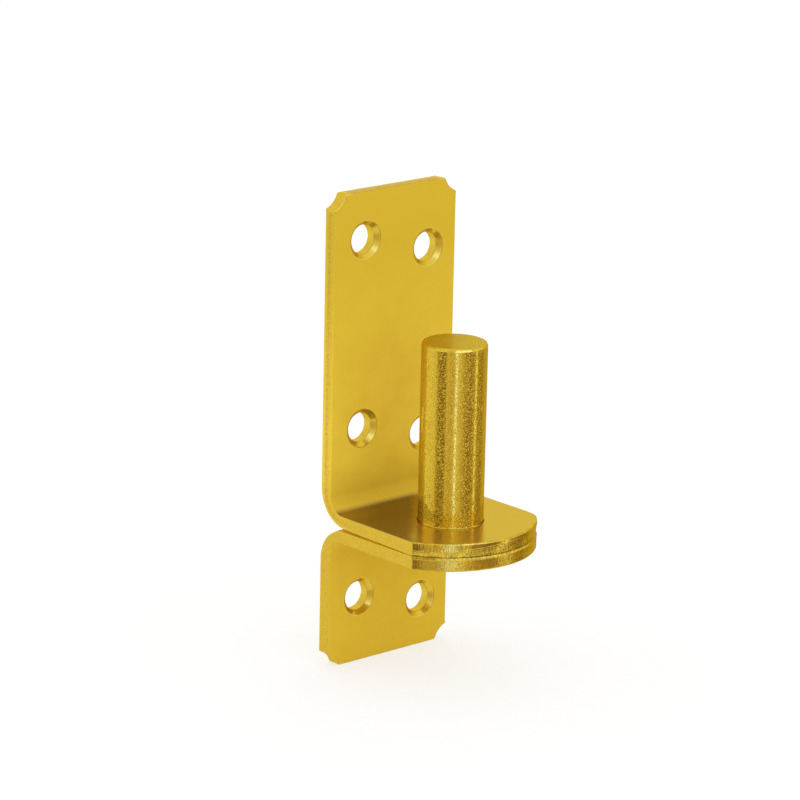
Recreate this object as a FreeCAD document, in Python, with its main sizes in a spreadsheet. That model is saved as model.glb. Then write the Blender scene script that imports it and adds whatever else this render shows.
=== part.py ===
"""Gate hinge pin: two bent strips, foot on foot, with a riveted pin that carries a gate's eye.

The origin is on the pin's axis, on the shelf's upper face. The pin points along +Z and the wall is
on the +Y side. Each plate is drawn in a frame of its own, with its seam face at zero and its flat
strip pointing along +Z, and is then put in place: the lower plate is the same form turned over.
"""
import FreeCAD, Part
import math
import os

import Sketcher

# Sizes in millimetres and degrees.
SIZES = {
    # strip that both plates are bent from
    "plate_width": 39.0,
    "sheet_thickness": 3.5,
    "edge_rounding": 0.5,
    # upper plate: from the seam to its top end, and its bend, which the press has stretched thinner
    "upper_height": 82.0,
    "upper_bend_inside": 4.25,
    "upper_bend_outside": 9.75,
    # lower plate: from the seam to its bottom end, and its tighter bend
    "lower_height": 36.5,
    "lower_bend_inside": 3.5,
    "lower_bend_outside": 9.0,
    # hollow corners at the free end of each plate, struck from just outside the sharp corner
    "scallop_radius": 5.0,
    "scallop_offset": 1.3,
    "scallop_lip_radius": 0.8,
    # shelf: its round nose, measured from the pin's axis, a little to the right, and its edge
    "nose_reach": 19.7,
    "nose_radius": 22.9,
    "nose_shift": 0.45,
    "rollover_radius": 0.6,
    "fracture_height": 1.7,
    "fracture_taper": 0.35,
    # screw holes: columns from the middle of the plate, rows from its free end
    "screw_hole_diameter": 7.2,
    "countersink_diameter": 9.4,
    "countersink_angle": 90.0,
    "left_column": 9.6,
    "right_column": 10.6,
    "upper_end_distance": 12.0,
    "lower_end_distance": 11.9,
    "row_pitch": 46.9,
    "row_stagger": 4.6,
    # pin: from its axis to the wall, and its height above the shelf
    "wall_distance": 25.5,
    "pin_diameter": 16.0,
    "pin_height": 44.5,
    "pin_chamfer": 0.65,
    "foot_ring_overhang": 0.3,
    "foot_ring_height": 0.35,
    # tenon riveted through both shelves
    "tenon_diameter": 12.0,
    "tenon_clearance": 0.05,
    "rivet_head_diameter": 17.0,
    "rivet_head_height": 2.6,
    "rivet_head_edge": 0.8,
    # how far a cutting outline runs past what it cuts
    "cut_margin": 2.0,
}

SHEET = "sizes"


class Size:
    """A number from the sheet, together with the formula that binds a property to it."""

    def __init__(self, value, formula):
        self.value = value
        self.formula = formula

    def __add__(self, other):
        return Size(self.value + other.value, f"({self.formula} + {other.formula})")

    def __sub__(self, other):
        return Size(self.value - other.value, f"({self.formula} - {other.formula})")

    def __mul__(self, other):
        return Size(self.value * other.value, f"({self.formula} * {other.formula})")

    def __truediv__(self, other):
        return Size(self.value / other.value, f"({self.formula} / {other.formula})")

    def __neg__(self):
        return Size(-self.value, f"(-{self.formula})")

    def half(self):
        return Size(self.value / 2, f"({self.formula} / 2)")

    def root(self):
        return Size(math.sqrt(self.value), f"sqrt({self.formula})")


ZERO = Size(0.0, "0")


def write_sheet(doc):
    """Puts the driving dimensions in the document's sheet, one named row each."""
    sheet = doc.addObject("Spreadsheet::Sheet", SHEET)
    for row, (name, value) in enumerate(SIZES.items(), start=1):
        sheet.set(f"A{row}", name)
        sheet.set(f"B{row}", str(value))
        sheet.setAlias(f"B{row}", name)
    doc.recompute()
    return {name: Size(float(sheet.get(name)), f"{SHEET}.{name}") for name in SIZES}


def bind(thing, name, size):
    """Ties one property of a document object to the sheet."""
    thing.setExpression(name, size.formula)


def new_sketch(body, name, plane):
    """An empty sketch on one of the body's own origin planes."""
    sketch = body.newObject("Sketcher::SketchObject", name)
    support = [item for item in body.Origin.OriginFeatures if item.Role == plane][0]
    sketch.AttachmentSupport = [(support, "")]
    sketch.MapMode = "FlatFace"
    return sketch


def tie(sketch, geometry, end, place):
    """Holds one point of a sketch at a place given by two sizes, across and up."""
    for kind, axis, size in (("DistanceX", -2, place[0]), ("DistanceY", -1, place[1])):
        if abs(size.value) < 1e-9:
            sketch.addConstraint(Sketcher.Constraint("PointOnObject", geometry, end, axis))
            continue
        if size.value > 0:
            rule = Sketcher.Constraint(kind, -1, 1, geometry, end, size.value)
            distance = size
        else:
            rule = Sketcher.Constraint(kind, geometry, end, -1, 1, -size.value)
            distance = -size
        index = sketch.addConstraint(rule)
        sketch.setExpression(f"Constraints[{index}]", distance.formula)


def arc_between(start, end, centre, radius):
    """The shorter arc about a centre, from one point to another."""
    middle = centre + ((start - centre) + (end - centre)).normalize() * radius
    return Part.Arc(start, middle, end)


def draw_outline(sketch, corners, arcs):
    """A closed outline through the corners, where arcs holds (centre, radius) by first corner."""
    points = [FreeCAD.Vector(across.value, up.value, 0) for across, up in corners]
    ends = []
    for index, start in enumerate(points):
        end = points[(index + 1) % len(points)]
        if index in arcs:
            centre, radius = arcs[index]
            middle = FreeCAD.Vector(centre[0].value, centre[1].value, 0)
            geometry = sketch.addGeometry(arc_between(start, end, middle, radius.value))
            rule = Sketcher.Constraint("Radius", geometry, radius.value)
            sketch.setExpression(f"Constraints[{sketch.addConstraint(rule)}]", radius.formula)
        else:
            geometry = sketch.addGeometry(Part.LineSegment(start, end))
        starts_first = sketch.getPoint(geometry, 1).distanceToPoint(start) < 1e-6
        ends.append((geometry, 1, 2) if starts_first else (geometry, 2, 1))
    for index, (geometry, first, last) in enumerate(ends):
        follower, follower_first, _ = ends[(index + 1) % len(ends)]
        rule = Sketcher.Constraint("Coincident", geometry, last, follower, follower_first)
        sketch.addConstraint(rule)
        tie(sketch, geometry, first, corners[index])


def draw_circle(sketch, place, radius):
    """A circle held at a place, with its radius bound."""
    middle = FreeCAD.Vector(place[0].value, place[1].value, 0)
    circle = Part.Circle(middle, FreeCAD.Vector(0, 0, 1), radius.value)
    geometry = sketch.addGeometry(circle)
    index = sketch.addConstraint(Sketcher.Constraint("Radius", geometry, radius.value))
    sketch.setExpression(f"Constraints[{index}]", radius.formula)
    tie(sketch, geometry, 3, place)


def edge_names(shape, wanted):
    """Names of the edges that a test accepts."""
    numbered = enumerate(shape.Edges, start=1)
    return [f"Edge{number}" for number, edge in numbered if wanted(edge)]


def round_edges(doc, body, name, radius, wanted):
    """Rounds the accepted edges of what the body has become so far."""
    base = body.Tip
    fillet = body.newObject("PartDesign::Fillet", name)
    fillet.Base = (base, edge_names(base.Shape, wanted))
    bind(fillet, "Radius", radius)
    doc.recompute()


def cut(doc, body, kind, name, sketch, settings):
    """A cutting feature, which must take material away."""
    before = body.Tip.Shape.Volume
    feature = body.newObject(kind, name)
    feature.Profile = sketch
    sketch.Visibility = False
    settings(feature)
    doc.recompute()
    if feature.Shape.Volume >= before - 1e-6:
        raise RuntimeError(f"{name} cuts nothing")
    return feature


def through_both_ways(feature):
    """A pocket that runs through the piece on both sides of its sketch."""
    feature.Type = "ThroughAll"
    feature.SideType = "Symmetric"


def bent_strip(doc, body, size, height, inside, outside):
    """The strip seen from its side: shelf, bend and flat, drawn over the whole width."""
    thickness = size["sheet_thickness"]
    wall = size["wall_distance"]
    front = wall - thickness
    blank_end = -(size["nose_reach"] + size["cut_margin"])
    outside_centre = (wall - outside, outside)
    inside_centre = (front - inside, thickness + inside)
    corners = [
        (blank_end, ZERO),
        (outside_centre[0], ZERO),
        (wall, outside_centre[1]),
        (wall, height),
        (front, height),
        (front, inside_centre[1]),
        (inside_centre[0], thickness),
        (blank_end, thickness),
    ]
    arcs = {1: (outside_centre, outside), 5: (inside_centre, inside)}
    sketch = new_sketch(body, f"{body.Label}_side_view", "YZ_Plane")
    draw_outline(sketch, corners, arcs)
    pad = body.newObject("PartDesign::Pad", f"{body.Label}_strip")
    pad.Profile = sketch
    pad.SideType = "Symmetric"
    bind(pad, "Length", size["plate_width"])
    doc.recompute()


def soften_sides(doc, body, size):
    """Rounds the strip's long edges, along its sides and round the bend, as rolled strip has them."""
    half_width = size["plate_width"].value / 2

    def runs_along_side(edge):
        box = edge.BoundBox
        on_side = box.XLength < 1e-6 and abs(abs(box.XMin) - half_width) < 1e-6
        across_sheet = abs(edge.Length - size["sheet_thickness"].value) < 1e-6
        return on_side and not across_sheet

    round_edges(doc, body, f"{body.Label}_side_rounding", size["edge_rounding"], runs_along_side)


def scallop_outline(size, height, side):
    """What is cut from one corner: a hollow arc about the corner, with a lip arc at each end."""
    corner = size["plate_width"].half()
    scallop = size["scallop_radius"]
    offset = size["scallop_offset"]
    lip = size["scallop_lip_radius"]
    margin = size["cut_margin"]
    both = scallop + lip
    rise = offset + lip
    run = (both * both - rise * rise).root()
    reach = run - offset
    share = scallop / both
    places = [
        (corner - reach, height),
        (corner + offset - run * share, height + offset - rise * share),
        (corner + offset - rise * share, height + offset - run * share),
        (corner, height - reach),
        (corner + margin, height - reach),
        (corner + margin, height + margin),
        (corner - reach, height + margin),
    ]
    lip_on_end = (corner - reach, height - lip)
    lip_on_side = (corner - lip, height - reach)
    middle = (corner + offset, height + offset)
    centres = {0: (lip_on_end, lip), 1: (middle, scallop), 2: (lip_on_side, lip)}
    if side < 0:
        places = [(-across, up) for across, up in places]
        centres = {key: ((-spot[0], spot[1]), radius) for key, (spot, radius) in centres.items()}
    return places, centres


def scallop_corners(doc, body, size, height):
    """Hollow quarter rounds at the free end's two corners, with softened lips."""
    sketch = new_sketch(body, f"{body.Label}_scallop_outlines", "XZ_Plane")
    for side in (-1, 1):
        draw_outline(sketch, *scallop_outline(size, height, side))
    cut(doc, body, "PartDesign::Pocket", f"{body.Label}_scallops", sketch, through_both_ways)


def shear_nose(doc, body, size, shift):
    """The round nose as a press shears it: rolled-over edge, upright land, torn taper at the seam."""
    thickness = size["sheet_thickness"]
    radius = size["nose_radius"]
    rollover = size["rollover_radius"]
    margin = size["cut_margin"]
    land_top = thickness - rollover
    outside = -(radius + size["plate_width"].half())
    above = thickness + margin
    below = -margin
    rollover_centre = (rollover - radius, land_top)
    corners = [
        (outside, below),
        (size["fracture_taper"] - radius, below),
        (size["fracture_taper"] - radius, ZERO),
        (-radius, size["fracture_height"]),
        (-radius, land_top),
        (rollover - radius, thickness),
        (rollover - radius, above),
        (outside, above),
    ]
    sketch = new_sketch(body, f"{body.Label}_nose_section", "YZ_Plane")
    draw_outline(sketch, corners, {4: (rollover_centre, rollover)})
    bind(sketch, "AttachmentOffset.Base.x", radius - size["nose_reach"])
    bind(sketch, "AttachmentOffset.Base.z", shift)

    def turn_about_nose(groove):
        groove.ReferenceAxis = (sketch, ["V_Axis"])
        groove.Midplane = True
        groove.Angle = 180.0

    cut(doc, body, "PartDesign::Groove", f"{body.Label}_nose", sketch, turn_about_nose)


def tenon_hole(doc, body, size):
    """The hole in the shelf that the pin's tenon fills."""
    sketch = new_sketch(body, f"{body.Label}_tenon_circle", "XY_Plane")
    radius = size["tenon_diameter"].half() + size["tenon_clearance"]
    draw_circle(sketch, (ZERO, ZERO), radius)
    cut(doc, body, "PartDesign::Pocket", f"{body.Label}_tenon_hole", sketch, through_both_ways)


def screw_holes(doc, body, size, places):
    """Countersunk screw holes, sunk from the face that the screws enter."""
    sketch = new_sketch(body, f"{body.Label}_screw_places", "XZ_Plane")
    for place in places:
        draw_circle(sketch, place, size["screw_hole_diameter"].half())
    bind(sketch, "AttachmentOffset.Base.z", size["sheet_thickness"] - size["wall_distance"])
    doc.recompute()

    def countersink(hole):
        hole.ThreadType = "None"
        hole.DepthType = "ThroughAll"
        hole.DrillPoint = "Flat"
        hole.HoleCutType = "Countersink"
        bind(hole, "Diameter", size["screw_hole_diameter"])
        bind(hole, "HoleCutDiameter", size["countersink_diameter"])
        bind(hole, "HoleCutCountersinkAngle", size["countersink_angle"])

    cut(doc, body, "PartDesign::Hole", f"{body.Label}_screw_holes", sketch, countersink)


def plate_body(doc, name, size, height, bend, nose_shift, hole_places):
    """One bent plate in its own frame, with its seam face at zero."""
    body = doc.addObject("PartDesign::Body", name)
    body.Label = name
    bent_strip(doc, body, size, height, size[f"{bend}_inside"], size[f"{bend}_outside"])
    soften_sides(doc, body, size)
    scallop_corners(doc, body, size, height)
    shear_nose(doc, body, size, nose_shift)
    tenon_hole(doc, body, size)
    screw_holes(doc, body, size, hole_places)
    bind(body, "Placement.Base.z", -size["sheet_thickness"])
    return body


def upper_plate(doc, size):
    """Tall plate: two staggered rows of two screws, and the shelf that the pin stands on."""
    height = size["upper_height"]
    first = height - size["upper_end_distance"]
    second = first - size["row_pitch"]
    left = -size["left_column"]
    right = size["right_column"]
    places = []
    for row in (first, second):
        places.append((left, row))
        places.append((right, row - size["row_stagger"]))
    shift = size["nose_shift"]
    return plate_body(doc, "upper_plate", size, height, "upper_bend", shift, places)


def lower_plate(doc, size):
    """Short plate with one staggered row, turned over so that its shelf lies under the other."""
    height = size["lower_height"]
    row = height - size["lower_end_distance"]
    places = [(-size["right_column"], row), (size["left_column"], row - size["row_stagger"])]
    shift = -size["nose_shift"]
    body = plate_body(doc, "lower_plate", size, height, "lower_bend", shift, places)
    body.Placement.Rotation = FreeCAD.Rotation(FreeCAD.Vector(0, 1, 0), 180)
    return body


def hinge_pin(doc, size):
    """Turned pin with a chamfered top, a thin foot ring, a tenon and the head riveted under it."""
    body = doc.addObject("PartDesign::Body", "hinge_pin")
    body.Label = "hinge_pin"
    radius = size["pin_diameter"].half()
    top = size["pin_height"]
    chamfer = size["pin_chamfer"]
    ring = radius + size["foot_ring_overhang"]
    ring_edge = size["foot_ring_height"] - size["foot_ring_overhang"]
    tenon = size["tenon_diameter"].half()
    underside = -(size["sheet_thickness"] + size["sheet_thickness"])
    head = size["rivet_head_diameter"].half()
    head_bottom = underside - size["rivet_head_height"]
    crown_radius = size["rivet_head_height"] - size["rivet_head_edge"]
    crown_centre = (head - crown_radius, underside - size["rivet_head_edge"])
    corners = [
        (ZERO, head_bottom),
        (head - crown_radius, head_bottom),
        (head, crown_centre[1]),
        (head, underside),
        (tenon, underside),
        (tenon, ZERO),
        (ring, ZERO),
        (ring, ring_edge),
        (radius, size["foot_ring_height"]),
        (radius, top - chamfer),
        (radius - chamfer, top),
        (ZERO, top),
    ]
    sketch = new_sketch(body, "hinge_pin_half_section", "XZ_Plane")
    draw_outline(sketch, corners, {1: (crown_centre, crown_radius)})
    turned = body.newObject("PartDesign::Revolution", "hinge_pin_turned")
    turned.Profile = sketch
    turned.ReferenceAxis = (sketch, ["V_Axis"])
    turned.Angle = 360.0
    sketch.Visibility = False
    doc.recompute()
    return body


def check(doc, bodies):
    """Stops before anything is written if an object failed or a piece isn't a sound solid."""
    for item in doc.Objects:
        if {"Invalid", "Error"} & set(item.State):
            raise RuntimeError(f"{item.Label} failed: {item.State}")
    for body in bodies:
        shape = body.Shape
        if shape.isNull() or not shape.isValid() or len(shape.Solids) != 1:
            raise RuntimeError(f"{body.Label} isn't one sound solid")


def main():
    doc = FreeCAD.newDocument("gate_hinge_pin")
    size = write_sheet(doc)
    bodies = [upper_plate(doc, size), lower_plate(doc, size), hinge_pin(doc, size)]
    doc.recompute()
    check(doc, bodies)
    os.makedirs("parts", exist_ok=True)
    for body in bodies:
        body.Shape.exportStep(f"parts/{body.Label}.step")
        box = body.Shape.BoundBox
        print(body.Label, round(body.Shape.Volume, 2), box)


main()
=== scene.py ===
"""Gate hinge pin, dressed: two bent plates and a riveted pin, zinc plated and gold passivated."""
import math

import bmesh
import bpy
from bpy.props import FloatProperty, IntProperty, PointerProperty, StringProperty
from mathutils import Matrix, Vector, noise
from mathutils.geometry import delaunay_2d_cdt


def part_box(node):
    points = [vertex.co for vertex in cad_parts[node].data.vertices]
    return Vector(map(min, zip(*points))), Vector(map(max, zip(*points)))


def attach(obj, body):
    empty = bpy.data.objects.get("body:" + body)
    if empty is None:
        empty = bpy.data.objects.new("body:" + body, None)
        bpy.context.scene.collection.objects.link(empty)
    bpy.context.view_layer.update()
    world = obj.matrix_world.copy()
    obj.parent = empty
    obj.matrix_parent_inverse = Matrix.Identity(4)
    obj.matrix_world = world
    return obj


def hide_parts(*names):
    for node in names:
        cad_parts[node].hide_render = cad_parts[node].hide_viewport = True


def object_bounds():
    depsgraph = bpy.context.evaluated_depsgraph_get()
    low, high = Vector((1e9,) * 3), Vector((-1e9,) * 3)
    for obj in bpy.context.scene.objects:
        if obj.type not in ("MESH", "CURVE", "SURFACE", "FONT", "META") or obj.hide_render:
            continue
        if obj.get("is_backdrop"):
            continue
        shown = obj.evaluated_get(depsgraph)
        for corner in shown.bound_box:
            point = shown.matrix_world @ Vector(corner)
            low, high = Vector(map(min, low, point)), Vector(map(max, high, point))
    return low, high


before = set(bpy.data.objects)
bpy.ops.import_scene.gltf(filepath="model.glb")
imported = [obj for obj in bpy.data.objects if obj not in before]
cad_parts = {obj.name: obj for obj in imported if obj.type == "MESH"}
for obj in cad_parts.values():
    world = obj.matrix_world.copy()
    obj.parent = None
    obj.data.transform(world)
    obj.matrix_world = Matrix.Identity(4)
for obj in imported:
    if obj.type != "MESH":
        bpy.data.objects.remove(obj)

bl_info = {
    "name": "Gate hinge pin",
    "version": (1, 0, 0),
    "blender": (4, 5, 0),
    "location": "3D View > Sidebar > Gate hinge pin",
    "description": "Builds a gate hinge pin: two bent plates and the riveted pin that carries a gate",
    "category": "Object",
}

MM = 0.001
CAD_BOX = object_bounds()
UPPER_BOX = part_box("upper_plate")
LOWER_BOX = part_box("lower_plate")
PIN_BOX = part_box("hinge_pin")


def length(name, description, default):
    return FloatProperty(name=name, description=description, default=default, unit="LENGTH")


def angle(name, description, degrees):
    default = math.radians(degrees)
    return FloatProperty(name=name, description=description, default=default, subtype="ANGLE")


def hex_colour(name, description, default):
    return StringProperty(name=name, description=description, default=default)


class StripSizes(bpy.types.PropertyGroup):
    """The rolled strip that both plates are bent from, and what is cut into it."""

    width: length("Width", "Across both plates", UPPER_BOX[1][0] - UPPER_BOX[0][0])
    thickness: length("Thickness", "Of the rolled strip", 3.5 * MM)
    wall: length("Wall distance", "From the pin's axis to the wall", UPPER_BOX[1][1])
    scallop: length("Scallop radius", "Of the hollow corners", 5.0 * MM)
    scallop_offset: length("Scallop offset", "How far outside the corner it is struck", 1.3 * MM)
    lip: length("Scallop lip", "Rounding beside each hollow corner", 0.8 * MM)
    hole: length("Screw hole", "Diameter", 7.2 * MM)
    sink: length("Countersink", "Diameter on the front face", 9.4 * MM)
    tenon: length("Tenon hole", "Diameter in the shelf", 12.1 * MM)
    nose_reach: length("Nose reach", "From the pin's axis to the nose", -UPPER_BOX[0][1])
    nose_radius: length("Nose radius", "Of the round nose seen from above", 22.9 * MM)
    nose_shift: length("Nose shift", "How far the nose is cropped to the right", 0.45 * MM)
    left_corner: length("Left nose corner", "Rounding seen from above", 0.75 * MM)
    right_corner: length("Right nose corner", "Rounding seen from above", 5.0 * MM)
    taper: length("Torn taper", "How far the torn edge leans in at the seam", 0.34 * MM)
    gap: length("Seam gap", "Half the opening between the feet at the bends", 0.38 * MM)


class PlateSizes(bpy.types.PropertyGroup):
    """One plate's own bend and edges."""

    height: length("Height", "From the seam to the free end", 82.0 * MM)
    inside: length("Bend inside", "Radius", 4.25 * MM)
    outside: length("Bend outside", "Radius", 9.75 * MM)
    front_edge: length("Front edge", "Rounding of the strip's front edges", 0.3 * MM)
    back_edge: length("Back edge", "Rounding of the strip's back edges", 0.4 * MM)
    seam_edge: length("Seam edge", "Rounding of the back edges along the shelf", 0.15 * MM)
    left_land: length("Left land", "Depth of the burnished band at the nose's left end", 2.3 * MM)
    right_land: length("Right land", "Depth of the burnished band at the nose's right end", 0.9 * MM)


class PinSizes(bpy.types.PropertyGroup):
    """The turned pin."""

    diameter: length("Diameter", "Of the bar that the gate's eye turns on", 16.0 * MM)
    height: length("Height", "Above the shelf", PIN_BOX[1][2])
    chamfer: length("Chamfer", "At the top", 0.65 * MM)
    ring: length("Foot ring", "How far the thin ring stands out", 0.22 * MM)
    ring_height: length("Foot ring height", "Of the thin ring", 0.24 * MM)
    tenon: length("Tenon", "Diameter through the shelf", 12.0 * MM)
    shelf: length("Shelf depth", "Both feet together", 7.0 * MM)
    head: length("Rivet head", "Diameter", 17.0 * MM)
    head_height: length("Rivet head height", "Under the shelf", 2.6 * MM)
    softness: length("Edge softness", "How far plating has rounded each turned edge", 0.12 * MM)
    segments: IntProperty(name="Segments", description="Round the pin", default=192, min=24)


class FinishColours(bpy.types.PropertyGroup):
    """Colours of the passivated zinc, as sRGB hex."""

    gold: hex_colour("Gold", "Passivated zinc on flat upright faces", "DEBA33")
    # Straw is painted light low on the upright plate, and yellow film on sheared edges.
    straw: hex_colour("Straw", "Where the film is thinner, low on the plate", "FBD846")
    amber: hex_colour("Amber", "Where the film is a little thicker", "DBB632")
    shelf: hex_colour("Shelf", "Passivated zinc on the pressed shelf", "D2B456")
    bronze: hex_colour("Bronze", "Where the film is thickest and brown", "9A7E30")
    # Painted reflection: the dark brown patch on the shelf left of the pin.
    painted_dark_reflection: hex_colour("Pooled", "Bath that dried in the inside corner", "968850")
    # The slit colour is torn metal, and also painted shade on the sides and along the free ends'
    # front edge.
    slit: hex_colour("Slit side", "Torn metal on the strip's sides", "B8933A")
    bar: hex_colour("Bar", "Passivated zinc on the turned bar", "DCBD3C")
    sheared: hex_colour("Sheared edge", "Passivated zinc on cut metal", "DBBB40")
    pit: hex_colour("Pit", "Passivated zinc in the bar's small pits", "B8962F")
    # Painted shade low on two sides of the pin's foot.
    painted_foot_shade: hex_colour("Crevice", "Bath that dried beside the pin's foot", "5E4516")
    grazing: hex_colour("Grazing", "What the zinc mirrors at a grazing angle", "E8D898")
    floor: hex_colour("Floor", "Paper that the part stands on", "F8F8F8")
    fibre: hex_colour("Fibre", "The paper's fibres", "F6F6F6")


class StageSizes(bpy.types.PropertyGroup):
    """Where the camera stands."""

    target_x: length("Target X", "What the camera looks at", -3.13 * MM)
    target_y: length("Target Y", "What the camera looks at", 15.69 * MM)
    target_z: length("Target Z", "What the camera looks at", 26.99 * MM)
    distance: length("Distance", "From the camera to its target", 948.9 * MM)
    azimuth: angle("Azimuth", "Round the part, from its front towards its right", -41.842)
    elevation: angle("Elevation", "Above the horizon", 15.567)
    roll: angle("Roll", "How far the camera leans", 1.22)
    lens: FloatProperty(name="Lens", description="In mm on a 36 mm sensor", default=176.18)


class HingeSettings(bpy.types.PropertyGroup):
    """All settings of the part and its stage."""

    strip: PointerProperty(type=StripSizes)
    upper: PointerProperty(type=PlateSizes)
    lower: PointerProperty(type=PlateSizes)
    pin: PointerProperty(type=PinSizes)
    finish: PointerProperty(type=FinishColours)
    stage: PointerProperty(type=StageSizes)


def settings():
    return bpy.context.scene.gate_hinge


# Materials


def linear(text):
    """sRGB hex to linear red, green, blue and alpha."""
    values = [int(text[start : start + 2], 16) / 255 for start in (0, 2, 4)]
    return [v / 12.92 if v <= 0.04045 else ((v + 0.055) / 1.055) ** 2.4 for v in values] + [1.0]


def add(tree, kind, sockets=(), **options):
    """Adds a node with its options, and sets or links its inputs, given in order or by name.

    Returns the first output in use. The others are reached through that socket's node.
    """
    node = tree.nodes.new(kind)
    for name, value in options.items():
        setattr(node, name, value)
    in_use = [socket for socket in node.inputs if socket.enabled]
    pairs = sockets.items() if isinstance(sockets, dict) else enumerate(sockets)
    for key, value in pairs:
        socket = in_use[key] if isinstance(key, int) else node.inputs[key]
        if isinstance(value, bpy.types.NodeSocket):
            tree.links.new(value, socket)
        else:
            socket.default_value = value
    return next((socket for socket in node.outputs if socket.enabled), None)


def new_material(name):
    material = bpy.data.materials.get(name) or bpy.data.materials.new(name)
    material.use_nodes = True
    material.node_tree.nodes.clear()
    return material, material.node_tree


def own_place(tree, stretch=(1, 1, 1)):
    """The piece's own coordinates. A pattern on them is drawn out where stretch is below one."""
    place = add(tree, "ShaderNodeTexCoord").node.outputs["Object"]
    return add(tree, "ShaderNodeMapping", {"Vector": place, "Scale": stretch})


def grain(tree, period, detail=2.0, roughness=0.5, stretch=(1, 1, 1)):
    """A random pattern on the piece, with features about one period apart."""
    sockets = {"Vector": own_place(tree, stretch), "Scale": 1 / period}
    sockets.update({"Detail": detail, "Roughness": roughness})
    return add(tree, "ShaderNodeTexNoise", sockets)


def ruffled(tree, period, slope, stretch=(1, 1, 1)):
    """The surface's normal, leaned at random by grains about one period across."""
    lean = grain(tree, period, 1.0, 0.6, stretch).node.outputs["Color"]
    lean = add(tree, "ShaderNodeVectorMath", (lean, (0.5, 0.5, 0.5)), operation="SUBTRACT")
    lean = add(tree, "ShaderNodeVectorMath", (lean, slope), operation="SCALE")
    normal = add(tree, "ShaderNodeNewGeometry").node.outputs["Normal"]
    leaned = add(tree, "ShaderNodeVectorMath", (normal, lean), operation="ADD")
    return add(tree, "ShaderNodeVectorMath", (leaned,), operation="NORMALIZE")


def torn_and_shade_share(tree):
    """How torn the cut metal is, 0 to 1, as the plate's mesh carries it. On the sides and the free
    ends' front edge it also stands for painted shade.
    """
    return add(tree, "ShaderNodeAttribute", attribute_name="torn").node.outputs["Fac"]


def plated(tree, finish, colour, roughness, normal, metallic):
    """The zinc's shader. Its tint keeps grazing reflections gold instead of white."""
    sockets = {"Base Color": colour, "Metallic": metallic, "Roughness": roughness, "Normal": normal}
    sockets.update({"Specular Tint": linear(finish.grazing), "Specular IOR Level": 0.05})
    shader = add(tree, "ShaderNodeBsdfPrincipled", sockets)
    add(tree, "ShaderNodeOutputMaterial", {"Surface": shader})


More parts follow.
